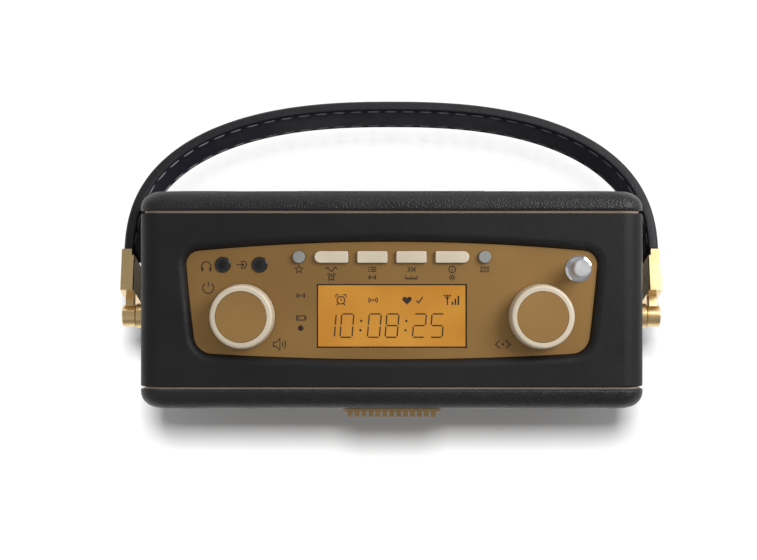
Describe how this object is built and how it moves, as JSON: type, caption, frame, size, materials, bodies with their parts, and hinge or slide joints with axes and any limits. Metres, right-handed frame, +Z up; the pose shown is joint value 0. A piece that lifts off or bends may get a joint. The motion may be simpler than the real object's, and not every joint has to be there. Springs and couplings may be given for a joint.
{
  "type": "tabletop radio",
  "caption": "Compact retro table radio in a padded case with a fold-back strap handle, two knobs, keys, amber display and telescopic aerial.",
  "frame": {"origin": "centre of the foot ring, on the surface that the radio stands on", "axes": "+Z up, +X to the right of a person facing the front, front towards -Y, rear and folded handle towards +Y"},
  "size_m": [0.2268, 0.1336, 0.1259],
  "materials": {
    "wood": "plain board",
    "leathercloth": "smooth satin leathercloth",
    "padded_leathercloth": "grained padded leathercloth",
    "strap_leather": "fine-grained leather with pale stitching",
    "lining": "smooth dark lining",
    "piping": "satin copper-coloured strip",
    "brass": "polished brass",
    "gold_panel": "metallic gold paint, satin",
    "cream": "cream plastic, satin",
    "grey_key": "warm grey plastic",
    "clear": "clear window",
    "display": "amber display",
    "black_plastic": "black moulding",
    "chrome": "polished chrome",
    "steel": "zinc-plated steel",
    "board_green": "green circuit board",
    "shield": "tinned sheet",
    "cable": "flat cable and leads",
    "paper_cone": "black paper cone",
    "foam_roll": "rubber surround",
    "grille_cloth": "dark woven cloth",
    "grille_metal": "gold-painted sheet",
    "rubber": "black rubber",
    "magnet": "ferrite and steel",
    "lamp": "tinted lamp"
  },
  "bodies": {
    "root": {"cabinet_shell": "wood", "cabinet_cover": "leathercloth", "piping_strips": "piping", "front_surround": "padded_leathercloth", "front_baffle": "wood", "grille_cloth": "grille_cloth", "speaker_grille": "grille_metal", "badge_bar": "brass", "foot_ring": "rubber", "control_panel": "gold_panel", "key_switches": "black_plastic", "display_window": "clear", "display_module": "display", "headphone_socket": "black_plastic", "line_in_socket": "black_plastic", "battery_lamp": "lamp", "rotary_encoders": "black_plastic", "aerial_collar": "chrome", "aerial_guide": "black_plastic", "control_board": "board_green", "receiver_module": "shield", "main_board": "board_green", "flat_cable": "cable", "inner_screws": "steel", "rear_screws": "steel", "speaker_frame": "steel", "speaker_magnet": "magnet", "speaker_surround": "foam_roll", "rear_panel": "padded_leathercloth", "battery_box": "black_plastic", "battery_contacts": "steel", "dc_socket": "black_plastic", "inner_leads": "cable", "pivot_plates": "brass", "pivot_screws": "brass"},
    "handle": {"handle_strap": "strap_leather", "handle_lining": "lining", "clasp_right": "brass", "clasp_left": "brass"},
    "favourite_key": {"favourite_button": "grey_key"},
    "mode_key": {"mode_button": "cream"},
    "menu_key": {"menu_button": "cream"},
    "tune_key": {"tune_button": "cream"},
    "info_key": {"info_button": "cream"},
    "preset_key": {"preset_button": "grey_key"},
    "volume_carrier": {"volume_plunger": "black_plastic"},
    "volume_dial": {"volume_knob": "cream", "volume_disc": "gold_panel", "volume_shaft": "steel"},
    "tuning_carrier": {"tuning_plunger": "black_plastic"},
    "tuning_dial": {"tuning_knob": "cream", "tuning_disc": "gold_panel", "tuning_shaft": "steel"},
    "aerial_outer": {"aerial_tube_1": "chrome"},
    "aerial_second": {"aerial_tube_2": "chrome"},
    "aerial_third": {"aerial_tube_3": "chrome"},
    "aerial_inner": {"aerial_rod": "chrome", "aerial_tip": "chrome"},
    "door": {"battery_door": "black_plastic"},
    "cone": {"speaker_cone": "paper_cone"}
  },
  "joints": [
    {"name": "handle_swing", "type": "hinge", "parent": "root", "child": "handle", "pos_m": [0, -0.007, 0.084], "axis": [1, 0, 0], "range_deg": [0, 210]},
    {"name": "favourite_press", "type": "slide", "parent": "root", "child": "favourite_key", "axis": [0, 0, -1], "range_m": [0, 0.001], "stiffness_N_per_m": 900, "springref_m": -0.0005},
    {"name": "mode_press", "type": "slide", "parent": "root", "child": "mode_key", "axis": [0, 0, -1], "range_m": [0, 0.001], "stiffness_N_per_m": 900, "springref_m": -0.0005},
    {"name": "menu_press", "type": "slide", "parent": "root", "child": "menu_key", "axis": [0, 0, -1], "range_m": [0, 0.001], "stiffness_N_per_m": 900, "springref_m": -0.0005},
    {"name": "tune_press", "type": "slide", "parent": "root", "child": "tune_key", "axis": [0, 0, -1], "range_m": [0, 0.001], "stiffness_N_per_m": 900, "springref_m": -0.0005},
    {"name": "info_press", "type": "slide", "parent": "root", "child": "info_key", "axis": [0, 0, -1], "range_m": [0, 0.001], "stiffness_N_per_m": 900, "springref_m": -0.0005},
    {"name": "preset_press", "type": "slide", "parent": "root", "child": "preset_key", "axis": [0, 0, -1], "range_m": [0, 0.001], "stiffness_N_per_m": 900, "springref_m": -0.0005},
    {"name": "volume_push", "type": "slide", "parent": "root", "child": "volume_carrier", "axis": [0, 0, -1], "range_m": [0, 0.0006], "stiffness_N_per_m": 1500, "springref_m": -0.0006},
    {"name": "volume_turn", "type": "hinge", "parent": "volume_carrier", "child": "volume_dial", "pos_m": [-0.0605, -0.0067, 0.12], "axis": [0, 0, 1], "continuous": true},
    {"name": "tuning_push", "type": "slide", "parent": "root", "child": "tuning_carrier", "axis": [0, 0, -1], "range_m": [0, 0.0006], "stiffness_N_per_m": 1500, "springref_m": -0.0006},
    {"name": "tuning_turn", "type": "hinge", "parent": "tuning_carrier", "child": "tuning_dial", "pos_m": [0.0605, -0.0067, 0.12], "axis": [0, 0, 1], "continuous": true},
    {"name": "aerial_lift", "type": "slide", "parent": "root", "child": "aerial_outer", "axis": [0, 0, 1], "range_m": [0, 0.088]},
    {"name": "aerial_draw_1", "type": "slide", "parent": "aerial_outer", "child": "aerial_second", "axis": [0, 0, 1], "range_m": [0, 0.084]},
    {"name": "aerial_draw_2", "type": "slide", "parent": "aerial_second", "child": "aerial_third", "axis": [0, 0, 1], "range_m": [0, 0.08]},
    {"name": "aerial_draw_3", "type": "slide", "parent": "aerial_third", "child": "aerial_inner", "axis": [0, 0, 1], "range_m": [0, 0.076]},
    {"name": "door_lift", "type": "slide", "parent": "root", "child": "door", "axis": [0, 1, 0], "range_m": [0, 0.025]},
    {"name": "cone_travel", "type": "slide", "parent": "root", "child": "cone", "axis": [0, -1, 0], "range_m": [-0.0008, 0.0008], "stiffness_N_per_m": 1200}
  ]
}
